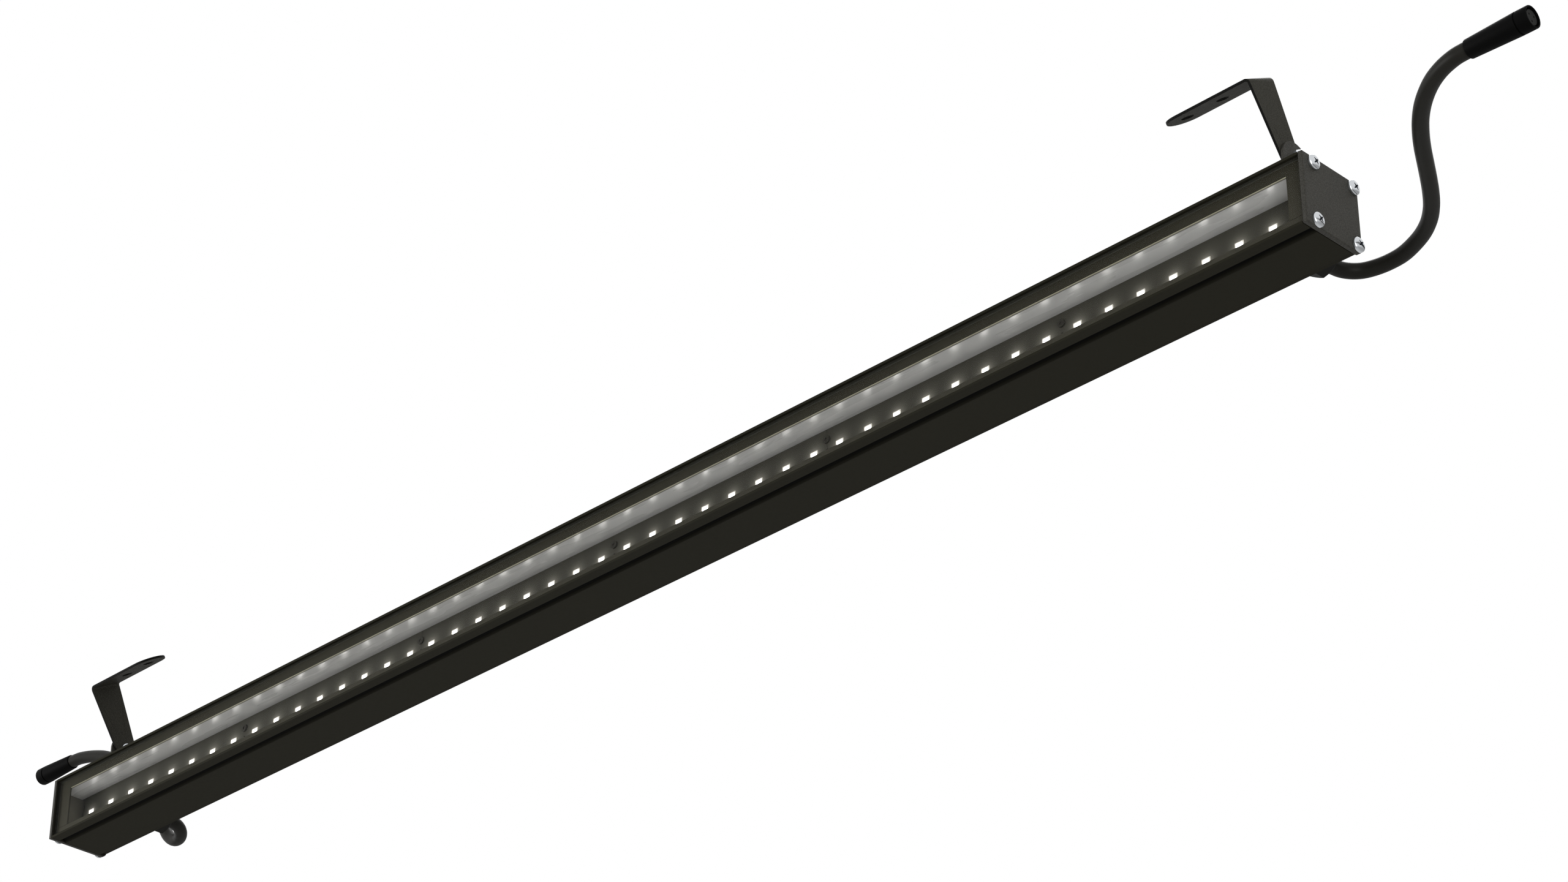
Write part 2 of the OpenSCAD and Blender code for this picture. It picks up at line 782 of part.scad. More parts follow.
module pivot_washers() {
    color("#e8e6dc")
        both_pivots()
            ring_x(lug_in_x - washer_t, lug_in_x, pivot_washer_r, bolt_r + thread_gap);
}
module nut_washers() {
    color("#d0d1d2")
        both_pivots()
            ring_x(nut_washer_x, nut_washer_x + nut_washer_t, nut_washer_r, bolt_r + thread_gap);
}
module pivot_nuts() {
    color("#d0d1d2")
        both_pivots()
            difference() {
                translate([nut_x, pivot_y, pivot_z])
                    rotate([0, 90, 0])
                        hex_prism(nut_h, nut_af);
                rod_x(nut_x - 1, nut_washer_x + 1, pivot_y, pivot_z, bolt_r + thread_gap);
            }
}

// Brackets: a tapered strap up from the pivot, bent over into a foot with two holes and a round tip
module strap_outline() {
    hull() {
        translate([0, -drop]) circle(r = strap_pivot_r);
        translate([-foot_r, -strap_flare_z - strap_t]) square([2 * foot_r, strap_flare_z]);
    }
}
module foot_outline() {
    translate([foot_tip_x, 0]) circle(r = foot_r);
    translate([foot_tip_x, -foot_r]) square([strap_out_x - bend_r - foot_tip_x, 2 * foot_r]);
}
module bend_profile() {
    difference() {
        intersection() {
            circle(r = bend_r);
            square(bend_r);
        }
        circle(r = bend_r - strap_t);
    }
}
module bracket(side) {
    color("#4a4842")
        mirror([side < 0 ? 1 : 0, 0, 0])
            difference() {
                union() {
                    intersection() {
                        along_x(strap_in_x, strap_out_x) strap_outline();
                        block([strap_in_x - 1, -foot_r - 1, -2 * drop], [strap_out_x + 1, foot_r + 1, -bend_r]);
                    }
                    translate([strap_out_x - bend_r, foot_r, -bend_r])
                        rotate([90, 0, 0])
                            linear_extrude(2 * foot_r) bend_profile();
                    translate([0, 0, -strap_t])
                        linear_extrude(strap_t) foot_outline();
                }
                rod_x(strap_in_x - 1, strap_out_x + 1, 0, -drop, strap_hole_r);
                for (x = hole_xs)
                    translate([x, 0, -strap_t - 1])
                        cylinder(h = strap_t + 2, r = hole_r);
            }
}

// Cable glands on the back of the bar, drawn along +Y from the gland's own centre
module at_glands() {
    in_bar()
        for (side = [-1, 1])
            translate([side * gland_x, 0, gland_z])
                rotate([-90, 0, 0])
                    children();
}
module gland_hex(z0, z1, chamfer) {
    intersection() {
        translate([0, 0, z0])
            rotate([0, 0, 30]) hex_prism(z1 - z0, gland_af);
        translate([0, 0, z0])
            rotate_extrude()
                polygon([[0, 0], [hex_r, 0], [hex_r, z1 - z0 - chamfer],
                         [gland_af / 2 - 0.6, z1 - z0], [0, z1 - z0]]);
    }
}
module gland_bodies() {
    color("#3b3c3e")
        at_glands()
            difference() {
                union() {
                    gland_hex(gland_base, gland_base + hex_h, 0.6);
                    translate([0, 0, thread_in]) cylinder(h = body_top - thread_in, r = gland_r);
                }
                translate([0, 0, thread_in - 1]) cylinder(h = body_top - thread_in + 2, r = grommet_r + slip);
            }
}
module gland_seals() {
    color("#141414")
        at_glands()
            difference() {
                translate([0, 0, bar_depth]) cylinder(h = seal_t, r = seal_r);
                translate([0, 0, bar_depth - 1]) cylinder(h = seal_t + 2, r = gland_r + slip);
            }
}
module gland_nuts() {
    color("#3b3c3e")
        at_glands()
            difference() {
                gland_hex(nut_base, gland_top, 1.4);
                translate([0, 0, nut_base - 1])
                    cylinder(h = body_top - nut_base + 1 + slip, r = gland_r + thread_gap);
                translate([0, 0, nut_base]) cylinder(h = gland_h, r = exit_r);
            }
}
module gland_locknuts() {
    color("#b9a56a")
        at_glands()
            difference() {
                translate([0, 0, chamber_back - locknut_t]) hex_prism(locknut_t, gland_af + 1);
                translate([0, 0, chamber_back - locknut_t - 1])
                    cylinder(h = locknut_t + 2, r = gland_r + thread_gap);
            }
}
module gland_grommets() {
    color("#101010")
        at_glands()
            difference() {
                translate([0, 0, body_top - 9]) cylinder(h = 9 + slip, r = grommet_r);
                translate([0, 0, body_top - 10]) cylinder(h = 11, r = cable_r + thread_gap);
            }
}

// Cables and connectors
module cable(route) {
    first = route[0];
    color("#2b2b2b")
        in_bar()
            tube(concat([
                [first[0], sheath_end_y, first[2]],
                [first[0], gland_base, first[2]],
                [first[0], body_top, first[2]]
            ], route), cable_r, cable_sides);
}
// A connector's outline turned about its own axis, +X pointing to its open end
module connector(side, at) {
    groove_x = connector_length - connector_groove;
    color("#141414")
        in_bar()
            translate(at)
                mirror([side < 0 ? 1 : 0, 0, 0])
                    rotate([0, 90, 0])
                        rotate_extrude()
                            polygon([
                                [0, 0], [connector_tail_r, 0], [connector_r, groove_x],
                                [connector_r - 0.5, groove_x], [connector_r - 0.5, groove_x + groove_w],
                                [connector_r, groove_x + groove_w], [connector_r, connector_length - 0.4],
                                [connector_r - 0.4, connector_length], [socket_r, connector_length],
                                [socket_r, connector_length - socket_depth], [0, connector_length - socket_depth]
                            ]);
}
module contact_places() {
    for (k = [0 : contacts - 1])
        rotate([k * 360 / contacts - 90, 0, 0])
            translate([0, contact_circle, 0])
                children();
}
module contact_insert(side, at, face, hole) {
    floor_x = connector_length - socket_depth;
    color("#5c5d5f")
        in_bar()
            translate(at)
                mirror([side < 0 ? 1 : 0, 0, 0])
                    difference() {
                        rod_x(floor_x, face, 0, 0, insert_r);
                        contact_places()
                            rod_x(face - hole, face + 1, 0, 0, contact_r + thread_gap);
                    }
}
module contacts_in(side, at, face, hole, x1, bored) {
    color("#c8a24a")
        in_bar()
            translate(at)
                mirror([side < 0 ? 1 : 0, 0, 0])
                    contact_places()
                        difference() {
                            rod_x(face - hole, x1, 0, 0, contact_r);
                            if (bored)
                                rod_x(face - hole + 1, x1 + 1, 0, 0, contact_r * 0.6);
                        }
}
insert_right = connector_length - insert_face;
insert_left = connector_length - socket_depth + 3;

housing_extrusion();
end_plate(-1);  // end_plate_left
end_plate(1);  // end_plate_right
end_gasket(-1);  // end_gasket_left
end_gasket(1);  // end_gasket_right
end_screws(-1);  // end_screws_left
end_screws(1);  // end_screws_right
front_glass();
long_gasket(1);  // glass_gasket_top
long_gasket(-1);  // glass_gasket_bottom
short_gasket(-1);  // glass_gasket_left
short_gasket(1);  // glass_gasket_right
liner(1);  // liner_top
liner(-1);  // liner_bottom
led_boards(0, 0);  // led_board_left
led_boards(1, boards - 2);  // led_board_middle
led_boards(boards - 1, boards - 1);  // led_board_right
led_rows(0, 0);  // leds_left
led_rows(1, boards - 2);  // leds_middle
led_rows(boards - 1, boards - 1);  // leds_right
board_screws();
board_links();
control_board();
control_spacers();
control_screws();
control_capacitors();
control_inductor();
control_driver_chip();
terminal(-1);  // terminal_left
terminal(1);  // terminal_right
led_feed_leads();
cores(-1);  // cores_left
cores(1);  // cores_right
lug(-1);  // lug_left
lug(1);  // lug_right
lug_screws();
pivot_bolts();
pivot_washers();
nut_washers();
pivot_nuts();
bracket(-1);  // bracket_left
bracket(1);  // bracket_right
gland_bodies();
gland_seals();
gland_nuts();
gland_locknuts();
gland_grommets();
cable(left_route);  // cable_left
cable(right_route);  // cable_right
connector(-1, left_end);  // connector_left
connector(1, right_end);  // connector_right
contact_insert(-1, left_end, insert_left, contact_l / 2);  // contact_insert_left
contact_insert(1, right_end, insert_right, contact_l);  // contact_insert_right
contacts_in(-1, left_end, insert_left, contact_l / 2, connector_length - 1, false);  // contact_pins_left
contacts_in(1, right_end, insert_right, contact_l, insert_right - contact_recess, true);  // contact_sockets_right
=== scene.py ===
"""A linear LED light fixture: a glazed aluminium bar that hangs from two bent steel brackets."""
import json
import math

import bmesh
import bpy
from mathutils import Matrix, Vector

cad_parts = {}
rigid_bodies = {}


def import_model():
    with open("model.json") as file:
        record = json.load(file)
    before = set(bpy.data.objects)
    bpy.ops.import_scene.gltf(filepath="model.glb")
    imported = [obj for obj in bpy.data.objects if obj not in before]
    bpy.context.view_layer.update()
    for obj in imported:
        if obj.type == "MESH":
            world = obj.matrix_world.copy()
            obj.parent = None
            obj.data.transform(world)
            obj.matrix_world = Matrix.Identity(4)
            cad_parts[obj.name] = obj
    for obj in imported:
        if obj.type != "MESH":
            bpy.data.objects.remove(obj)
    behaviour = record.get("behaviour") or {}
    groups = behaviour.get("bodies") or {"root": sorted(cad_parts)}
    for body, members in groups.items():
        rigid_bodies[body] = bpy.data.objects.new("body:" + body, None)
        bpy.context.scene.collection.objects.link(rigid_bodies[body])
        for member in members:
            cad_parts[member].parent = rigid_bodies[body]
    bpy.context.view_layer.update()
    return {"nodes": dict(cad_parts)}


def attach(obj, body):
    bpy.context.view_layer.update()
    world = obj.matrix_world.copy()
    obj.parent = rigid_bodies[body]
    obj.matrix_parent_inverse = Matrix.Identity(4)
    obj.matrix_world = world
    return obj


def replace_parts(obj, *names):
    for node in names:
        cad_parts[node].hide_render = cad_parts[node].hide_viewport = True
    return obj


for leftover in list(bpy.data.objects):
    bpy.data.objects.remove(leftover)
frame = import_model()


# Where the bar hangs
# The bar is drawn in its own frame, in millimetres: X along it, Y from its glass to its back and
# Z across it. It hangs from the line of its two pivot bolts and leans back in its brackets.
MM = 0.001
LEAN = math.radians(28.3)
PIVOT = Vector((0, 31.9, 41.9)) * MM
PIVOT_DROP = 45.5
BAR = (Matrix.Translation((0, 0, -PIVOT_DROP * MM)) @ Matrix.Rotation(-LEAN, 4, "X")
       @ Matrix.Translation(-PIVOT))


def in_bar(x, y, z):
    """A point of the bar's own frame, given in millimetres, where it hangs."""
    return BAR @ (Vector((x, y, z)) * MM)


# Camera
# It stands below the bar's right end and looks up along it, turned 45 degrees and raised 30
# degrees against the bar's own frame.
CAMERA_SPOT = Vector((1389.0, -1235.7, -1006.8))
CAMERA_LOOK = Vector((-0.6124, 0.6124, 0.5))

camera_data = bpy.data.cameras.new("camera")
camera_data.lens = 87.97
camera_data.sensor_width = 36
camera_data.clip_start = 0.05
camera_data.clip_end = 60
camera = bpy.data.objects.new("camera", camera_data)
bpy.context.scene.collection.objects.link(camera)
look = CAMERA_LOOK.normalized()
right = look.cross(Vector((0, 0, 1))).normalized()
axes = Matrix((right, right.cross(look), -look)).transposed().to_4x4()
camera.matrix_world = BAR @ Matrix.Translation(CAMERA_SPOT * MM) @ axes
bpy.context.scene.camera = camera
bpy.context.scene.view_settings.view_transform = "Standard"


# Housing
# One extruded aluminium bar under a dark olive powder coat with a fine peel. The groove along
# each side is deep and narrow, and painted shade darkens it near-black. The lip that the gasket
# lies on is painted lighter where it faces the lit channel, as painted light.
HALF_HEIGHT = 20.15
GROOVE_START, GROOVE_WIDTH = 6.1, 4.9
SHADE_DEPTH = 1.9
LIP_HALF, LIP_BACK = 12.8, 5.85


class Wire:
    """One output of a shader node: an expression on it adds its Math nodes."""

    def __init__(self, nodes, socket):
        self.nodes = nodes
        self.socket = socket

    def math(self, operation, first, second=0.0):
        return self.nodes.node("Math", {"operation": operation}, {0: first, 1: second})

    def __add__(self, other):
        return self.math("ADD", self, other)

    def __sub__(self, other):
        return self.math("SUBTRACT", self, other)

    def __rsub__(self, other):
        return self.math("SUBTRACT", other, self)

    def __mul__(self, other):
        return self.math("MULTIPLY", self, other)

    def __gt__(self, other):
        return self.math("GREATER_THAN", self, other)

    def __lt__(self, other):
        return self.math("LESS_THAN", self, other)

    def __pow__(self, other):
        return self.math("POWER", self, other)

    def __abs__(self):
        return self.math("ABSOLUTE", self)

    __radd__ = __add__
    __rmul__ = __mul__


class Nodes:
    """The shader nodes of one material, or of the world."""

    def __init__(self, tree):
        self.tree = tree

    def node(self, kind, settings=None, inputs=None, out=0):
        """Adds a node with its settings and inputs, and gives one of its outputs."""
        node = self.tree.nodes.new("ShaderNode" + kind)
        for setting, value in (settings or {}).items():
            setattr(node, setting, value)
        for place, value in (inputs or {}).items():
            self.join(value, node.inputs[place])
        return Wire(self, node.outputs[out])

    def join(self, value, socket):
        """Links a wire to a socket, or gives the socket a value of its own."""
        if isinstance(value, Wire):
            self.tree.links.new(value.socket, socket)
        else:
            socket.default_value = value


class Finish(Nodes):
    """A material whose shader takes its constants by name and wires on the sockets that vary."""

    def __init__(self, name, colour, **constants):
        self.material = bpy.data.materials.new(name)
        self.material.use_nodes = True
        super().__init__(self.material.node_tree)
        self.shader = self.tree.nodes["Principled BSDF"]
        self.colour = (*colour, 1)
        self.shader.inputs["Base Color"].default_value = self.colour
        for socket, value in constants.items():
            self.shader.inputs[socket.replace("_", " ")].default_value = value

    def feed(self, socket, value):
        """Joins a value to one of the shader's inputs by its name."""
        self.join(value, self.shader.inputs[socket])

    def noise(self, scale, detail=3.0, roughness=0.5, stretch=(1, 1, 1)):
        """Grain at so many waves a metre, drawn out where a stretch is below 1."""
        spot = self.node("TexCoord", out="Object")
        return self.node("TexNoise", inputs={
            "Vector": self.node("Mapping", inputs={"Vector": spot, "Scale": stretch}),
            "Scale": scale, "Detail": detail, "Roughness": roughness})

    def along_bar(self, axis, origin=(0, 0, 0)):
        """How far a point lies along one axis of the bar's own frame, in metres from an origin."""
        spot = self.node("TexCoord", out="Object")
        level = self.node("Mapping", {"vector_type": "TEXTURE"}, {
            "Vector": spot, "Location": in_bar(*origin), "Rotation": (-LEAN, 0, 0)})
        return self.node("SeparateXYZ", inputs={"Vector": level}, out=axis)

    def blend(self, amount, first, second):
        """One colour turns into another as amount goes from 0 to 1."""
        return self.node("Mix", {"data_type": "RGBA"}, {0: amount, 6: first, 7: second}, out=2)

    def spread(self, value, low, high):
        """A value that runs from low to high becomes one from 0 to 1."""
        return self.node("MapRange", inputs={"Value": value, "From Min": low, "From Max": high})

    def mottle(self, other, amount):
        """The finish's own colour turns into another one as amount goes from 0 to 1."""
        mottled = self.blend(amount, self.colour, (*other, 1))
        self.feed("Base Color", mottled)
        return mottled

    def bump(self, height, distance, strength):
        """Shades the surface as if height, from 0 to 1, stood out by a distance in millimetres."""
        self.feed("Normal", self.node("Bump", inputs={
            "Height": height, "Distance": distance * MM, "Strength": strength}))

    def paint(self, *pieces):
        """Gives this finish to pieces, or to nodes of the frame by their names."""
        for piece in pieces:
            thing = frame["nodes"][piece] if isinstance(piece, str) else piece
            if isinstance(piece, str):
                thing.data.materials.clear()
            thing.data.materials.append(self.material)


def ease_edges(width, *names):
    """Rounds the sharp edges of sheet and extrusion by a bevel, as their coating does."""
    for name in names:
        piece = frame["nodes"][name]
        weld = piece.modifiers.new("weld", "WELD")
        weld.merge_threshold = 0.002 * MM
        bevel = piece.modifiers.new("bevel", "BEVEL")
        bevel.width = width * MM
        bevel.segments = 2
        bevel.limit_method = "ANGLE"
        bevel.angle_limit = math.radians(40)


bar_coat = Finish("olive powder coat", (0.0138, 0.0129, 0.0084), Specular_IOR_Level=0.025)
fine_peel = bar_coat.noise(1300, detail=2)
from_front = bar_coat.along_bar("Y", (0, GROOVE_START, 0))
from_middle = abs(bar_coat.along_bar("Z"))
# Painted shade: the side grooves are coloured near-black from the groove's start, fading out
# across its width.
at_side = from_middle > (HALF_HEIGHT - SHADE_DEPTH) * MM
# Painted light: the lip's face towards the lit channel is coloured light grey so that it looks
# lit.
lit_lip_mask = (from_middle < LIP_HALF * MM) * (from_front < (LIP_BACK - GROOVE_START) * MM)
fade = bar_coat.spread(from_front, 1.2 * GROOVE_WIDTH * MM, 0.6 * GROOVE_WIDTH * MM)
shaded = at_side * (from_front > 0) * fade
painted_groove_shade, painted_lip_light = (0.001, 0.001, 0.0008, 1), (0.22, 0.215, 0.19, 1)
# The coat's mottle is partly its own tone and partly painted shade of the fine peel, lighter on
# the peel's crests.
coat_tone = bar_coat.mottle((0.0190, 0.0180, 0.0120),
                            fine_peel * 0.7 + bar_coat.noise(26, detail=4) * 0.3)
coat_tone = bar_coat.blend(shaded, coat_tone, painted_groove_shade)
bar_coat.feed("Base Color", bar_coat.blend(lit_lip_mask, coat_tone, painted_lip_light))
bar_coat.feed("Roughness", 0.45 + 0.12 * bar_coat.noise(600, detail=4))
bar_coat.bump(fine_peel, 0.03, 0.4)
bar_coat.paint("housing_extrusion")
ease_edges(0.25, "housing_extrusion")


# LED boards
# Three aluminium-core boards end to end under a dull solder mask, held by screws in pairs under
# the mask whose heads are painted darker than it, as painted shade. A glow painted into the
# mask round every LED stands in for the light that spills over it.
BOARD_PITCH = 330.2
BOARD_FACE = 20.3
LED_PITCH = 20.75
LEDS_PER_BOARD = 16
SPILL_FADE, SPILL_PEAK = 0.5, 0.7
BOARDS = {"left": -BOARD_PITCH, "middle": 0, "right": BOARD_PITCH}

for part, board_x in BOARDS.items():
    mask = Finish("solder mask " + part, (0.0440, 0.0420, 0.0325), Specular_IOR_Level=0.06)
    mask.feed("Roughness", 0.45 + 0.2 * mask.noise(300))
    mask.bump(mask.noise(2600, detail=2), 0.01, 0.3)
    middle = (board_x, BOARD_FACE, 0)
    along = mask.along_bar("X", middle)
    across = mask.along_bar("Z", middle)
    step = LED_PITCH * MM
    lane = mask.node("Math", {"operation": "FLOORED_MODULO"}, {0: along, 1: step}) - step / 2
    away = (lane * lane + across * across) ** 0.5 * (1 / MM)
    on_row = abs(along) < LEDS_PER_BOARD / 2 * step
    # Painted light: the mask glows round each LED, fading with distance from its middle.
    painted_glow = on_row * mask.node("Math", {"operation": "EXPONENT"}, {0: away * -SPILL_FADE})
    mask.shader.inputs["Emission Strength"].default_value = 1
    mask.feed("Emission Color", mask.blend(painted_glow * SPILL_PEAK, (0, 0, 0, 1), (1, 0.95, 0.80, 1)))
    mask.paint("led_board_" + part)

# Painted shade: the screw heads are coloured darker than the mask round them.
shaded_board_screw = Finish("screw under the mask", (0.030, 0.028, 0.022), Specular_IOR_Level=0.06)
shaded_board_screw.feed("Roughness", 0.35 + 0.2 * shaded_board_screw.noise(900))
shaded_board_screw.paint("board_screws")
solder = Finish("solder", (0.62, 0.62, 0.60), Metallic=1.0)
solder.feed("Roughness", 0.3 + 0.3 * solder.noise(1400))
solder.paint("board_links")


# LEDs
# Forty-eight square white LEDs of the 5.5 mm size, each a moulded frame round a glowing face,
# soldered down in one row.
LED_HALF, LED_GLOW = 2.75, 2.1
LED_CORNER, GLOW_CORNER = 0.35, 0.45
LED_TOP, LED_FACE = BOARD_FACE - 0.38, BOARD_FACE - 0.2


def new_piece(name, mesh, finish, smooth=0):
    """A mesh becomes a piece of one finish and slot, which moves with the housing."""
    bmesh.ops.recalc_face_normals(mesh, faces=mesh.faces)
    data = bpy.data.meshes.new(name)
    mesh.to_mesh(data)
    mesh.free()
    if smooth:
        data.shade_smooth()
        data.set_sharp_from_angle(angle=math.radians(smooth))
    piece = bpy.data.objects.new(name, data)
    bpy.context.scene.collection.objects.link(piece)
    finish.paint(piece)
    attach(piece, "housing")
    return piece


def loft(mesh, rings, closed=True):
    """Skins rings of points one after another, with a face at each end if it is closed."""
    rows = [[mesh.verts.new(p) for p in ring] for ring in rings]
    count = len(rows[0])
    for a, b in zip(rows, rows[1:]):
        for k in range(count):
            mesh.faces.new((a[k], a[(k + 1) % count], b[(k + 1) % count], b[k]))
    if closed:
        mesh.faces.new(rows[0][::-1])
        mesh.faces.new(rows[-1])


def led_ring(x, half, y, corner):
    """A square with round corners about an LED's middle, at depth y in the bar."""
    points = []
    for turn in range(4):
        for k in range(5):
            angle = math.pi / 2 * (turn + k / 4)
            centre = Vector((half - corner, half - corner))
            centre.rotate(Matrix.Rotation(math.pi / 2 * turn, 2))
            p = centre + corner * Vector((math.cos(angle), math.sin(angle)))
            points.append(in_bar(x + p.x, y, p.y))
    return points


led_frame = Finish("LED frame", (0.55, 0.53, 0.46))
led_frame.feed("Roughness", 0.4 + 0.2 * led_frame.noise(1500))
# Painted light: the frames glow faintly, though only the LED faces give light.
led_frame.shader.inputs["Emission Strength"].default_value = 0.25
led_frame.shader.inputs["Emission Color"].default_value = (1, 0.97, 0.88, 1)
led_glow = Finish("LED face", (1, 0.98, 0.92), Roughness=0.5)
led_glow.shader.inputs["Emission Strength"].default_value = 13
led_glow.feed("Emission Color", led_glow.blend(led_glow.noise(1200), (1, 0.98, 0.92, 1),
                                               (1, 0.99, 0.96, 1)))
for part, board_x in BOARDS.items():
    frames, faces = bmesh.new(), bmesh.new()
    for k in range(LEDS_PER_BOARD):
        x = board_x + (k - (LEDS_PER_BOARD - 1) / 2) * LED_PITCH
        loft(frames, [led_ring(x, LED_HALF, BOARD_FACE, LED_CORNER),
                      led_ring(x, LED_HALF, LED_TOP + 0.1, LED_CORNER),
                      led_ring(x, LED_HALF - 0.12, LED_TOP, 0.3),
                      led_ring(x, LED_GLOW + 0.12, LED_TOP, GLOW_CORNER),
                      led_ring(x, LED_GLOW - 0.01, LED_FACE, GLOW_CORNER)], closed=False)
        loft(faces, [led_ring(x, LED_GLOW, LED_FACE + 0.01, GLOW_CORNER),
                     led_ring(x, LED_GLOW - 0.4, LED_FACE - 0.04, 0.3)])
    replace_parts(new_piece("led_frames_" + part, frames, led_frame), "leds_" + part)
    new_piece("led_faces_" + part, faces, led_glow)


# Reflector liners
# Two strips of glossy white sheet lie on the channel's upper and lower walls. The LEDs mirror
# in them as soft spots near the glass.
liner_white = Finish("liner white", (0.59, 0.59, 0.58), Specular_IOR_Level=0.6)
liner_white.mottle((0.56, 0.56, 0.55), liner_white.noise(90, stretch=(0.1, 1, 1)))
liner_white.feed("Roughness", 0.26 + 0.03 * liner_white.noise(160, stretch=(0.1, 1, 1)))
liner_white.paint("liner_top", "liner_bottom")


# Glass and its gasket
# A clear toughened pane with ground edges lies on four strips of olive rubber with butt joints
# in the corners, painted lighter towards the lower strip as painted light. The lower strip is
# rounded, and a thin pale bead along the inner edge of the upper one is a painted highlight.
GLASS_END, GLASS_HALF = 497.0, 18.6
GLASS_FRONT, GLASS_BACK = 1.2, 3.7
GLASS_CHAMFER = 0.3
WINDOW_END, WINDOW_HALF = 487.0, 12.7
BEAD = 0.22


def pane_ring(y, inset):
    """The glass pane's outline pulled in by inset, at depth y in the bar."""
    x, z = GLASS_END - inset, GLASS_HALF - inset
    return [in_bar(a, y, b) for a, b in ((-x, -z), (x, -z), (x, z), (-x, z))]


clear = Finish("clear glass", (0.03, 0.033, 0.03), Roughness=0.03)
clear.material.blend_method = "BLEND"
facing = clear.node("LayerWeight", inputs={"Blend": 0.35}, out="Facing")
clear.feed("Alpha", 0.04 + 0.25 * facing ** 3)
ground_edge = Finish("ground glass edge", (0.040, 0.040, 0.030), Specular_IOR_Level=0.2)
ground_edge.feed("Roughness", 0.6 + 0.2 * ground_edge.noise(900))
sheet = bmesh.new()
loft(sheet, [pane_ring(GLASS_FRONT, GLASS_CHAMFER), pane_ring(GLASS_FRONT + GLASS_CHAMFER, 0),
             pane_ring(GLASS_BACK - GLASS_CHAMFER, 0), pane_ring(GLASS_BACK, GLASS_CHAMFER)])
pane = new_piece("glass_pane", sheet, clear)
pane.data.materials.append(ground_edge.material)
for face in pane.data.polygons:
    face.material_index = 0 if abs(face.normal.dot(BAR.col[1].xyz)) > 0.99 else 1
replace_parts(pane, "front_glass")

rubber = Finish("olive rubber", (0.0240, 0.0225, 0.0145), Specular_IOR_Level=0.05)
rubber.feed("Roughness", 0.6 + 0.2 * rubber.noise(700))
# Painted light: the rubber is coloured lighter towards the lower strip.
lower = 0.5 - rubber.along_bar("Z") * (0.5 / (GLASS_HALF * MM))
rubber.mottle((0.0520, 0.0490, 0.0365), lower * 0.8 + rubber.noise(60) * 0.2)
rubber.paint("glass_gasket_top", "glass_gasket_bottom", "glass_gasket_left", "glass_gasket_right")
ease_edges(0.4, "glass_gasket_bottom")

# Painted highlight: this pale bead stands in for the LED light on the upper gasket's inner edge.
painted_edge_highlight = Finish("pale silicone", (0.42, 0.40, 0.28), Specular_IOR_Level=0.4)
painted_edge_highlight.feed("Roughness", 0.35 + 0.2 * painted_edge_highlight.noise(400))
bead = bmesh.new()
bead_section = [(0.3, 0), (0.38, BEAD * 0.8), (0.62, BEAD), (0.9, BEAD * 0.8), (1.0, 0)]
loft(bead, [[in_bar(x, GLASS_BACK + y, WINDOW_HALF - out) for y, out in bead_section]
            for x in (-WINDOW_END, WINDOW_END)])
new_piece("window_bead", bead, painted_edge_highlight, smooth=60)


# End plates
# Aluminium plates with a coarse orange-peel powder coat and rounded edges close the bar's two
# ends, each on a rubber gasket that is painted pale where it closes the lit channel, as painted
# light.
BAR_DEPTH = 42.4
PLATE_IN, PLATE_OUT = 497.5, 500.0
PLATE_CORNER, FRONT_CORNER = 3.0, 0.3
PLATE_EDGE = 0.7
CHANNEL_HALF, CHANNEL_FRONT = HALF_HEIGHT - 6, 4.7

end_rubber = Finish("end gasket rubber", (0.016, 0.015, 0.011), Specular_IOR_Level=0.06)
end_rubber.feed("Roughness", 0.6 + 0.2 * end_rubber.noise(700))
# Painted light: the gasket is coloured pale where it closes the lit channel.
lit_channel_mask = ((abs(end_rubber.along_bar("Z")) < CHANNEL_HALF * MM)
              * (end_rubber.along_bar("Y") > CHANNEL_FRONT * MM))
end_rubber.mottle((0.100, 0.094, 0.074), lit_channel_mask * (0.8 + 0.2 * end_rubber.noise(60)))
end_rubber.paint("end_gasket_left", "end_gasket_right")

peel_coat = Finish("orange-peel powder coat", (0.0185, 0.0176, 0.0140), Specular_IOR_Level=0.2)
peel = peel_coat.noise(1250, detail=1.5, roughness=0.4)
# The mottle is partly the coat's own tone and partly painted shade of the peel, its crests lighter
# than its hollows.
plate_peel_tone_shade = peel_coat.spread(peel, 0.35, 0.65)
peel_coat.feed("Roughness", 0.5 + 0.14 * peel_coat.noise(400))
peel_coat.mottle((0.0400, 0.0382, 0.0315), plate_peel_tone_shade * 0.75 + peel_coat.noise(70, detail=4) * 0.25)
peel_coat.bump(peel, 0.25, 0.5)


def plate_ring(side, x, inset):
    """The plate's outline pulled in by inset, at x from the bar's middle."""
    z = HALF_HEIGHT - inset
    corner = PLATE_CORNER - inset
    front, back = inset + FRONT_CORNER, BAR_DEPTH - inset - corner
    corners = ((back, z - corner, corner, 0), (front, z - FRONT_CORNER, FRONT_CORNER, 90),
               (front, FRONT_CORNER - z, FRONT_CORNER, 180), (back, corner - z, corner, 270))
    points = []
    for cy, cz, r, start in corners:
        for k in range(7):
            angle = math.radians(start + 15 * k)
            points.append(in_bar(side * x, cy + r * math.cos(angle), cz + r * math.sin(angle)))
    return points


turns = [math.radians(a) for a in range(0, 91, 15)]
rounding = [(PLATE_EDGE * math.sin(a), PLATE_EDGE * (1 - math.cos(a))) for a in turns]
for side, part in ((-1, "left"), (1, "right")):
    plate = bmesh.new()
    loft(plate, [plate_ring(side, PLATE_IN, 0)] +
         [plate_ring(side, PLATE_OUT - PLATE_EDGE + out, inset) for out, inset in rounding])
    cover = new_piece("end_cover_" + part, plate, peel_coat, smooth=35)
    cover.modifiers.new("flat faces", "WEIGHTED_NORMAL").keep_sharp = True
    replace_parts(cover, "end_plate_" + part)


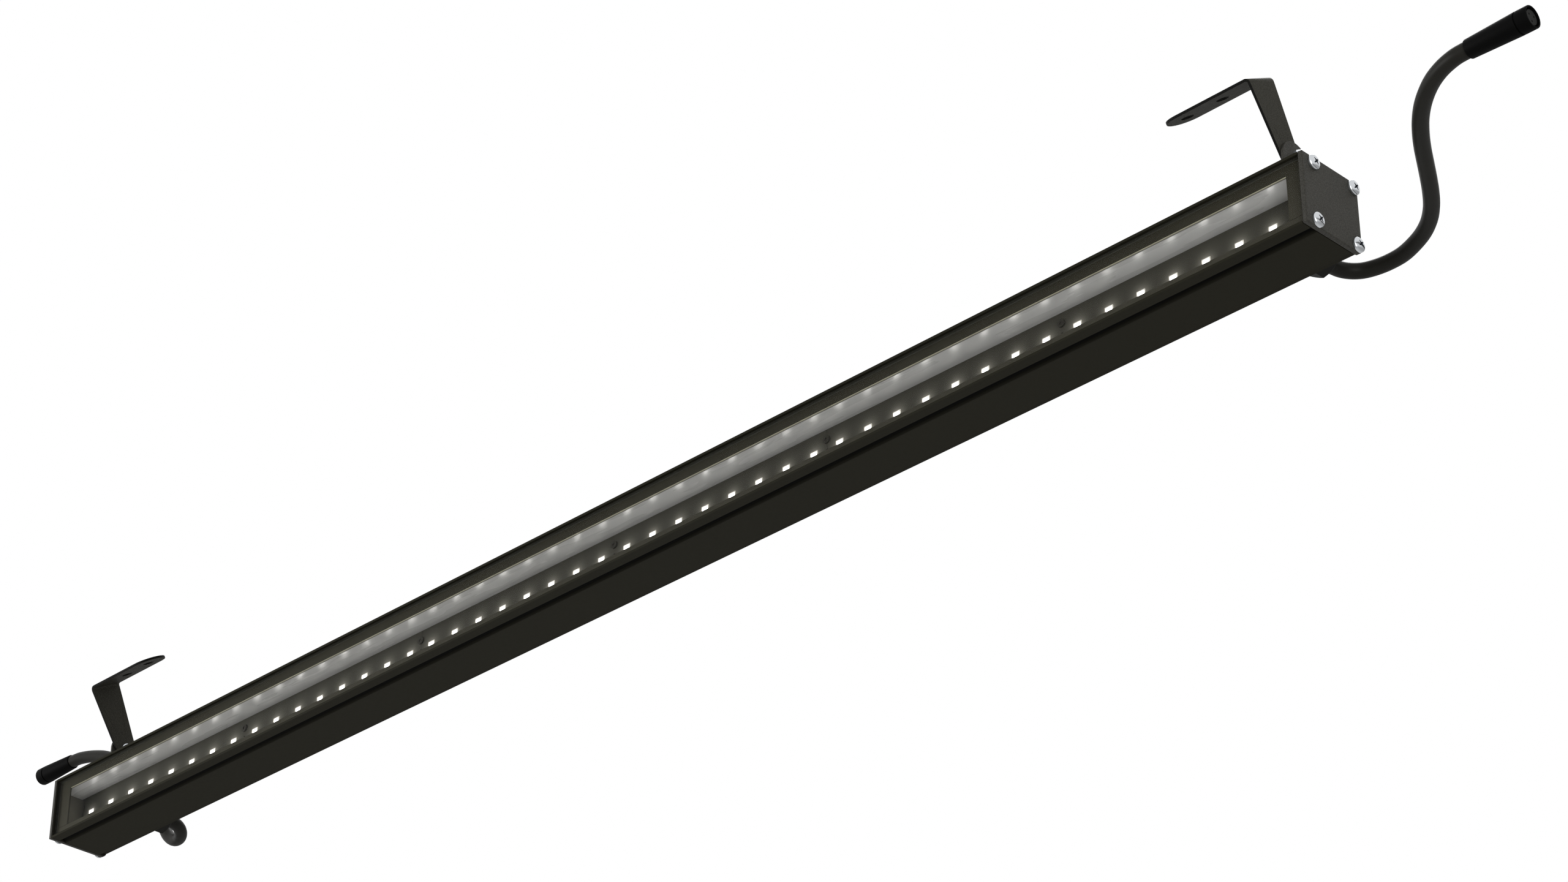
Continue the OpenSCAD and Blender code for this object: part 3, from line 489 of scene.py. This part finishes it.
# End screws
# Four chromed pan-head screws hold each end plate. The driver's cross is pressed into the dome,
# and its faces are painted dark as painted shade.
SCREW_YS = (8.0, 38.7)
SCREW_Z = 16.3
HEAD_R, HEAD_H = 4.0, 2.4
SHANK_R, SHANK_L, SHANK_TIP = 1.45, 14, 1.2
THREAD_R, THREAD_PITCH, THREAD_END = 0.82 * SHANK_R, 0.6, -1.4
CROSS_ARM, CROSS_HALF, CROSS_DEPTH = 2.3, 0.48, 1.5

chrome = Finish("chrome", (0.60, 0.62, 0.64), Metallic=1.0)
chrome.feed("Roughness", 0.17 + 0.06 * chrome.noise(500))
# Painted shade: the faces of the cross recess are coloured dark.
recess = Finish("shaded recess", (0.010, 0.013, 0.018), Specular_IOR_Level=0.2)
recess.feed("Roughness", 0.4 + 0.2 * recess.noise(900))


def turned(mesh, outline, sides=64):
    """Turns an outline of (radius, along) about +X."""
    turns = [2 * math.pi * s / sides for s in range(sides)]
    loft(mesh, [[Vector((along, r * math.cos(a), r * math.sin(a))) * MM for a in turns]
                for r, along in outline])


def cross_ring(x, arm, half):
    """A plus sign at x: four arms that narrow towards their tips round a rounded middle."""
    quarter = [(arm, half * 0.7), (half * 2.1, half * 1.05), (half * 1.5, half * 1.5),
               (half * 1.05, half * 2.1), (half * 0.7, arm)]
    points = []
    for turn in range(4):
        swing = Matrix.Rotation(math.pi / 2 * turn + math.pi / 4, 2)
        for p in quarter:
            spot = swing @ Vector(p)
            points.append(Vector((x, spot.x, spot.y)) * MM)
    return points


def pan_head():
    """A screw along +X with its seat at 0: threaded shank, domed head and cross recess."""
    x = SHANK_TIP - SHANK_L
    outline = [(0.01, -SHANK_L), (0.6 * SHANK_R, -SHANK_L), (SHANK_R, x)]
    while x < THREAD_END:
        outline += [(THREAD_R, x + THREAD_PITCH / 2), (SHANK_R, x + THREAD_PITCH)]
        x += THREAD_PITCH
    rim = HEAD_H * 0.4
    outline += [(SHANK_R, 0), (HEAD_R - 0.1, 0), (HEAD_R, 0.1), (HEAD_R, rim)]
    dome = [math.radians(a) for a in range(10, 90, 8)]
    outline += [(HEAD_R * math.cos(a), rim + (HEAD_H - rim) * math.sin(a)) for a in dome]
    outline += [(0.01, HEAD_H)]
    whole, driver = bmesh.new(), bmesh.new()
    turned(whole, outline)
    loft(driver, [cross_ring(HEAD_H - CROSS_DEPTH, CROSS_ARM * 0.3, CROSS_HALF * 0.3),
                  cross_ring(HEAD_H + 0.3, CROSS_ARM * 1.1, CROSS_HALF)])
    for face in driver.faces:
        face.material_index = 1
    solids = []
    for name, mesh in (("screw", whole), ("driver", driver)):
        bmesh.ops.recalc_face_normals(mesh, faces=mesh.faces)
        data = bpy.data.meshes.new(name)
        mesh.to_mesh(data)
        mesh.free()
        data.materials.append(chrome.material)
        data.materials.append(recess.material)
        solids.append(bpy.data.objects.new(name, data))
        bpy.context.scene.collection.objects.link(solids[-1])
    cut = solids[0].modifiers.new("recess", "BOOLEAN")
    cut.object = solids[1]
    cut.solver = "EXACT"
    graph = bpy.context.evaluated_depsgraph_get()
    screw = bpy.data.meshes.new_from_object(solids[0].evaluated_get(graph))
    for solid in solids:
        bpy.data.objects.remove(solid)
    return screw


screw = pan_head()
for side, part in ((-1, "left"), (1, "right")):
    heads = bmesh.new()
    for y in SCREW_YS:
        for z in (-SCREW_Z, SCREW_Z):
            before = len(heads.verts)
            heads.from_mesh(screw)
            heads.verts.ensure_lookup_table()
            seat = Matrix.Translation(Vector((side * PLATE_OUT, y, z)) * MM)
            turn = Matrix.Rotation(0 if side > 0 else math.pi, 4, "Z")
            bmesh.ops.transform(heads, matrix=BAR @ seat @ turn, verts=heads.verts[before:])
    screws = new_piece("chrome_end_screws_" + part, heads, chrome, smooth=35)
    screws.data.materials.append(recess.material)
    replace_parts(screws, "end_screws_" + part)


# Pivots
# A hexagon bolt, nut and washers of zinc-plated steel clamp each strap against its lug, with a
# nylon washer between them, and pan-head screws hold the lugs down.
BOLT_R, COLLAR_R, HEXAGON_R = 2.0, 3.35, 4.75
BOLT_TIP, BOLT_SEAT = 464.5, 473.35
COLLAR_H, HEXAGON_H, HEXAGON_CHAMFER = 1.7, 3.8, 0.4
COLLAR_TOP, HEXAGON_TOP = BOLT_SEAT + COLLAR_H, BOLT_SEAT + HEXAGON_H

zinc = Finish("bright zinc", (0.66, 0.69, 0.73), Metallic=1.0)
zinc.feed("Roughness", 0.2 + 0.12 * zinc.noise(600))
zinc.bump(zinc.noise(900, detail=2), 0.03, 0.3)
zinc.paint("nut_washers", "pivot_nuts", "lug_screws")
shank_and_collar = [
    (0.01, BOLT_TIP), (BOLT_R - 0.4, BOLT_TIP), (BOLT_R, BOLT_TIP + 0.4), (BOLT_R, BOLT_SEAT),
    (COLLAR_R, BOLT_SEAT), (COLLAR_R, COLLAR_TOP), (0.01, COLLAR_TOP)]
hexagon = [(HEXAGON_R, COLLAR_TOP), (HEXAGON_R, HEXAGON_TOP - HEXAGON_CHAMFER),
           (HEXAGON_R - 0.5, HEXAGON_TOP)]
corners = [math.radians(30 + 60 * k) for k in range(6)]
bolts = bmesh.new()
for side in (-1, 1):
    seat = Matrix.Translation(PIVOT) @ Matrix.Rotation(0 if side > 0 else math.pi, 4, "Z")
    before = len(bolts.verts)
    turned(bolts, shank_and_collar, sides=32)
    loft(bolts, [[Vector((along, r * math.cos(a), r * math.sin(a))) * MM for a in corners]
                 for r, along in hexagon])
    bolts.verts.ensure_lookup_table()
    bmesh.ops.transform(bolts, matrix=BAR @ seat, verts=bolts.verts[before:])
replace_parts(new_piece("hexagon_bolts", bolts, zinc, smooth=35), "pivot_bolts")
nylon = Finish("white nylon", (0.66, 0.65, 0.60))
nylon.feed("Roughness", 0.5 + 0.15 * nylon.noise(500))
nylon.paint("pivot_washers")
peel_coat.paint("lug_left", "lug_right")
ease_edges(0.2, "lug_left", "lug_right")


# Brackets
# Each is 1.5 mm steel sheet, cut, bent over once into a foot with two holes, and powder coated
# with a finer peel than the end plates. The cut edges are coloured near-black.
SHEET = 1.5
sheet_coat = Finish("bracket powder coat", (0.0250, 0.0240, 0.0188), Specular_IOR_Level=0.06)
sheet_peel = sheet_coat.noise(1500, detail=1.5, roughness=0.4)
height = sheet_coat.node("SeparateXYZ", inputs={
    "Vector": sheet_coat.node("TexCoord", out="Object")}, out="Z")
facing_z, facing_y = (abs(sheet_coat.node("SeparateXYZ", inputs={
    "Vector": sheet_coat.node("TexCoord", out="Normal")}, out=axis)) for axis in "ZY")
on_foot = (facing_z < 0.4) * (height > -1.1 * SHEET * MM)
cut_edge = sheet_coat.node("Math", {"operation": "MAXIMUM"}, {0: on_foot, 1: facing_y > 0.6})
# The mottle is partly the coat's own tone and partly painted shade of the peel, its crests lighter
# than its hollows.
bracket_peel_tone_shade = sheet_coat.spread(sheet_peel, 0.35, 0.65)
sheet_tone = sheet_coat.mottle((0.0420, 0.0403, 0.0325), bracket_peel_tone_shade)
near_black_edge = (0.003, 0.003, 0.0024, 1)
sheet_coat.feed("Base Color", sheet_coat.blend(cut_edge, sheet_tone, near_black_edge))
sheet_coat.feed("Roughness", 0.5 + 0.14 * sheet_coat.noise(400))
sheet_coat.bump(sheet_peel, 0.25, 0.7)
sheet_coat.paint("bracket_left", "bracket_right")
ease_edges(0.2, "bracket_left", "bracket_right")


# Control board
# It fills the chamber behind the web: a green laminate on nylon spacers, with its capacitors,
# inductor, driver and the two terminal blocks that take the cores of the cables.
laminate = Finish("green laminate", (0.012, 0.085, 0.032))
laminate.mottle((0.018, 0.11, 0.045), laminate.noise(220))
laminate.feed("Roughness", 0.4 + 0.15 * laminate.noise(500))
laminate.paint("control_board", "terminal_left", "terminal_right")
nylon.paint("control_spacers")
zinc.paint("control_screws")
black_case = Finish("black case", (0.012, 0.012, 0.013))
black_case.feed("Roughness", 0.45 + 0.2 * black_case.noise(800))
black_case.paint("control_capacitors", "control_driver_chip")
copper = Finish("lacquered copper", (0.42, 0.16, 0.07), Metallic=1.0)
copper.feed("Roughness", 0.3 + 0.3 * copper.noise(1600, stretch=(1, 0.1, 1)))
copper.paint("control_inductor")
sleeve = Finish("lead sleeve", (0.30, 0.045, 0.035))
sleeve.feed("Roughness", 0.4 + 0.15 * sleeve.noise(900))
sleeve.paint("led_feed_leads", "cores_left", "cores_right")


# Cable glands
# Dark grey nylon glands of the PG9 size stand on the bar's back on a rubber seal, with a locknut
# inside and a grommet that grips the cable.
gland_nylon = Finish("grey nylon", (0.013, 0.013, 0.0115), Specular_IOR_Level=0.06)
gland_nylon.feed("Roughness", 0.45 + 0.12 * gland_nylon.noise(600))
gland_nylon.bump(gland_nylon.noise(1800, detail=2), 0.02, 0.4)
gland_nylon.paint("gland_bodies", "gland_nuts")
ease_edges(0.25, "gland_nuts")
black_rubber = Finish("black rubber", (0.008, 0.008, 0.008), Specular_IOR_Level=0.15)
black_rubber.feed("Roughness", 0.55 + 0.2 * black_rubber.noise(700))
black_rubber.paint("gland_seals", "gland_grommets")
brass = Finish("brass", (0.62, 0.46, 0.18), Metallic=1.0)
brass.feed("Roughness", 0.25 + 0.15 * brass.noise(700))
brass.paint("gland_locknuts")


# Cables
# Round rubber-sheathed cables of 8.2 mm leave the glands straight back. The right one turns
# outwards and forwards, the left one loops down and climbs behind the bar.
GLAND = Vector((463.6, 61.5, 1.6))
CABLE_R, TAIL_START = 4.1, 35.1
TUBE_SIDES, STEPS = 24, 6
RIGHT_RUN = (
    (0, 0, 0), (0, 5.5, 0), (1, 11.5, 0), (3.9, 16.5, 0), (8.4, 20.2, 0), (14.9, 22.3, 0),
    (22.4, 23, 0), (30.9, 22.1, 0), (39.9, 18.8, 0), (49.4, 13.7, 0), (58.4, 6.5, 0),
    (66.4, -2.5, 0), (73.4, -12.5, 0), (79.9, -23, 0), (86.4, -34, 0), (92.9, -45, 0),
    (99.4, -55, 0), (106.4, -64.5, 0), (113.9, -73, 0), (121.9, -80.3, 0), (129.9, -86.1, 0),
    (138.4, -90.4, 0), (146.4, -92.8, 0), (151.4, -93.3, 0), (154.4, -93.3, 0))
LEFT_RUN = (
    (0, 0, 0), (0, 4, 0), (0.8, 9, -0.4), (3.2, 13.7, -1.2), (7.2, 17.7, -2),
    (12.4, 20.7, -2.2), (18.4, 22.5, -1.2), (24.2, 23.3, 1.4), (29.2, 23.5, 5.6),
    (33.4, 23.5, 11.4), (38, 23.5, 18.4), (44.4, 23.2, 27.9), (52.4, 23, 38.4),
    (62.4, 23, 51.9), (75.4, 23, 65.4), (90.4, 23, 77.9), (106.4, 23, 86.9), (122.4, 23, 92.7),
    (135.4, 23, 95.9), (142.4, 23, 96.7), (145.9, 23, 96.7))
RUNS = (("left", -1, LEFT_RUN), ("right", 1, RIGHT_RUN))

sheath = Finish("cable sheath", (0.0115, 0.0110, 0.0092), Specular_IOR_Level=0.06)
sheath.feed("Roughness", 0.36 + 0.10 * sheath.noise(350))
sheath.mottle((0.0150, 0.0144, 0.0120), sheath.noise(120, detail=4))
sheath.bump(sheath.noise(900, detail=3), 0.03, 0.3)


def catmull(points):
    """A smooth line through the points, with the same number of steps between each two."""
    line = []
    for k in range(len(points) - 1):
        a, b = points[max(k - 1, 0)], points[k]
        c, d = points[k + 1], points[min(k + 2, len(points) - 1)]
        for s in range(STEPS):
            t = s / STEPS
            line.append(0.5 * (2 * b + (c - a) * t + (2 * a - 5 * b + 4 * c - d) * t * t
                               + (3 * b - a - 3 * c + d) * t * t * t))
    return line + [points[-1]]


def sweep(mesh, line, radius):
    """A round tube along a line, turned as little as possible from ring to ring."""
    turns = [2 * math.pi * s / TUBE_SIDES for s in range(TUBE_SIDES)]
    rings, side = [], Vector((0, 0, 1))
    for k, point in enumerate(line):
        heading = (line[min(k + 1, len(line) - 1)] - line[max(k - 1, 0)]).normalized()
        side = (side - side.dot(heading) * heading).normalized()
        other = heading.cross(side)
        rings.append([point + radius * (math.cos(a) * side + math.sin(a) * other) for a in turns])
    loft(mesh, rings)


cables, paths = {}, {}
for part, side, run in RUNS:
    mouth = in_bar(side * GLAND.x, GLAND.y - 1, GLAND.z)
    tail = bmesh.new()
    sweep(tail, [in_bar(side * GLAND.x, TAIL_START, GLAND.z), mouth], CABLE_R * MM)
    new_piece("cable_tail_" + part, tail, sheath, smooth=60)
    route = [mouth] + [in_bar(side * (GLAND.x + x), GLAND.y + y, GLAND.z + z) for x, y, z in run]
    path = catmull(route)
    tube = bmesh.new()
    sweep(tube, path, CABLE_R * MM)
    cables[part] = new_piece("cable_sheath_" + part, tube, sheath, smooth=60)
    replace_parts(cables[part], "cable_" + part)
    paths[part] = path


# Connectors
# Each cable ends in a round connector moulded onto it, tapered towards the cable, with a locking
# groove behind the ring round its insert and its three contacts.
CONNECTOR_LENGTH = 35
CONNECTOR_R, TAIL_R, SOCKET_R = 5.75, 4.8, 4.9
GROOVE_NEAR, GROOVE_FAR = CONNECTOR_LENGTH - 7.3, CONNECTOR_LENGTH - 6.5
GROOVE_R = CONNECTOR_R - 0.5
SOCKET_FLOOR = CONNECTOR_LENGTH - 6.4

moulded = Finish("moulded black", (0.0016, 0.0016, 0.0015), Specular_IOR_Level=0.03)
moulded.feed("Roughness", 0.5 + 0.1 * moulded.noise(500))
moulded.bump(moulded.noise(1400, detail=2), 0.02, 0.3)
insert_grey = Finish("insert grey", (0.014, 0.014, 0.013), Specular_IOR_Level=0.05)
insert_grey.feed("Roughness", 0.5 + 0.1 * insert_grey.noise(700))
contact_metal = Finish("contact metal", (0.70, 0.52, 0.24), Metallic=1.0)
contact_metal.feed("Roughness", 0.25 + 0.1 * contact_metal.noise(900))

for part, side, run in RUNS:
    shell = bmesh.new()
    turned(shell, [
        (0.01, 0), (TAIL_R - 0.5, 0), (TAIL_R - 0.15, 0.15), (TAIL_R, 0.5),
        (CONNECTOR_R, GROOVE_NEAR - 0.15), (CONNECTOR_R - 0.12, GROOVE_NEAR),
        (GROOVE_R, GROOVE_NEAR + 0.02), (GROOVE_R, GROOVE_FAR - 0.02),
        (CONNECTOR_R - 0.12, GROOVE_FAR), (CONNECTOR_R, GROOVE_FAR + 0.15),
        (CONNECTOR_R, CONNECTOR_LENGTH - 0.4),
        (CONNECTOR_R - 0.12, CONNECTOR_LENGTH - 0.1), (CONNECTOR_R - 0.4, CONNECTOR_LENGTH),
        (SOCKET_R + 0.15, CONNECTOR_LENGTH), (SOCKET_R, CONNECTOR_LENGTH - 0.15),
        (SOCKET_R, SOCKET_FLOOR), (0.01, SOCKET_FLOOR)], sides=80)
    end = GLAND + Vector(run[-1])
    seat = Matrix.Translation(Vector((side * end.x, end.y, end.z)) * MM)
    turn = Matrix.Rotation(0 if side > 0 else math.pi, 4, "Z")
    bmesh.ops.transform(shell, matrix=BAR @ seat @ turn, verts=shell.verts)
    body = new_piece("connector_shell_" + part, shell, moulded, smooth=35)
    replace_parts(body, "connector_" + part)
    insert_grey.paint("contact_insert_" + part)
    contacts = "contact_pins_left" if side < 0 else "contact_sockets_right"
    contact_metal.paint(contacts)
    path = paths[part]
    length = sum((b - a).length for a, b in zip(path, path[1:]))
    frame["nodes"]["contact_insert_" + part]


# Room
# A plain pale floor under the bar, in an even white surround with soft light from the front,
# from the right end and from behind.
FLOOR_Z, FLOOR_HALF = -0.75, 9

floor_mesh = bmesh.new()
bmesh.ops.create_grid(floor_mesh, x_segments=1, y_segments=1, size=FLOOR_HALF)
floor_data = bpy.data.meshes.new("floor")
floor_mesh.to_mesh(floor_data)
floor_mesh.free()
floor = bpy.data.objects.new("floor", floor_data)
floor.location = (0, 0, FLOOR_Z)
bpy.context.scene.collection.objects.link(floor)
pale = Finish("pale floor", (0.88, 0.88, 0.88), Roughness=0.9)
pale.mottle((0.91, 0.91, 0.91), pale.noise(3))
seen_from_below = pale.node("NewGeometry", out="Backfacing")
unseen = pale.node("BsdfTransparent", out="BSDF")
shown = pale.node("MixShader", inputs={
    0: seen_from_below, 1: Wire(pale, pale.shader.outputs[0]), 2: unseen})
pale.join(shown, pale.tree.nodes["Material Output"].inputs["Surface"])
pale.paint(floor)


def soft_lamp(name, spot, aim, cone, size, power):
    """A wide soft lamp at spot that is turned to a point of the bar."""
    data = bpy.data.lights.new(name, "SPOT")
    data.spot_size = math.radians(cone)
    data.spot_blend = 1
    data.shadow_soft_size = size
    data.energy = power
    thing = bpy.data.objects.new(name, data)
    thing.location = spot
    thing.rotation_euler = (Vector(spot) - Vector(aim)).to_track_quat("Z", "Y").to_euler()
    bpy.context.scene.collection.objects.link(thing)


soft_lamp("front lamp", (-1.2, -1.1, 0.5), (-0.1, 0, -0.05), 110, 0.5, 72)
soft_lamp("end lamp", (1.1, -0.5, 0.0), (0.48, 0, -0.05), 80, 0.25, 14.5)
soft_lamp("back lamp", (-0.5, 2.4, 1.6), (0, 0, -0.05), 80, 0.8, 110)

world = bpy.data.worlds.new("white surround")
bpy.context.scene.world = world
world.use_nodes = True
surround = Nodes(world.node_tree)
even = surround.node("Background", inputs={"Color": (1, 1, 1, 1), "Strength": 0.46})
white = surround.node("Background", inputs={"Color": (1, 1, 1, 1), "Strength": 1.0})
seen = surround.node("LightPath", out="Is Camera Ray")
seen = seen + surround.node("LightPath", out="Is Glossy Ray")
seen = seen + surround.node("LightPath", out="Is Transmission Ray")
choice = surround.node("MixShader", inputs={0: seen, 1: even, 2: white})
surround.join(choice, world.node_tree.nodes["World Output"].inputs["Surface"])
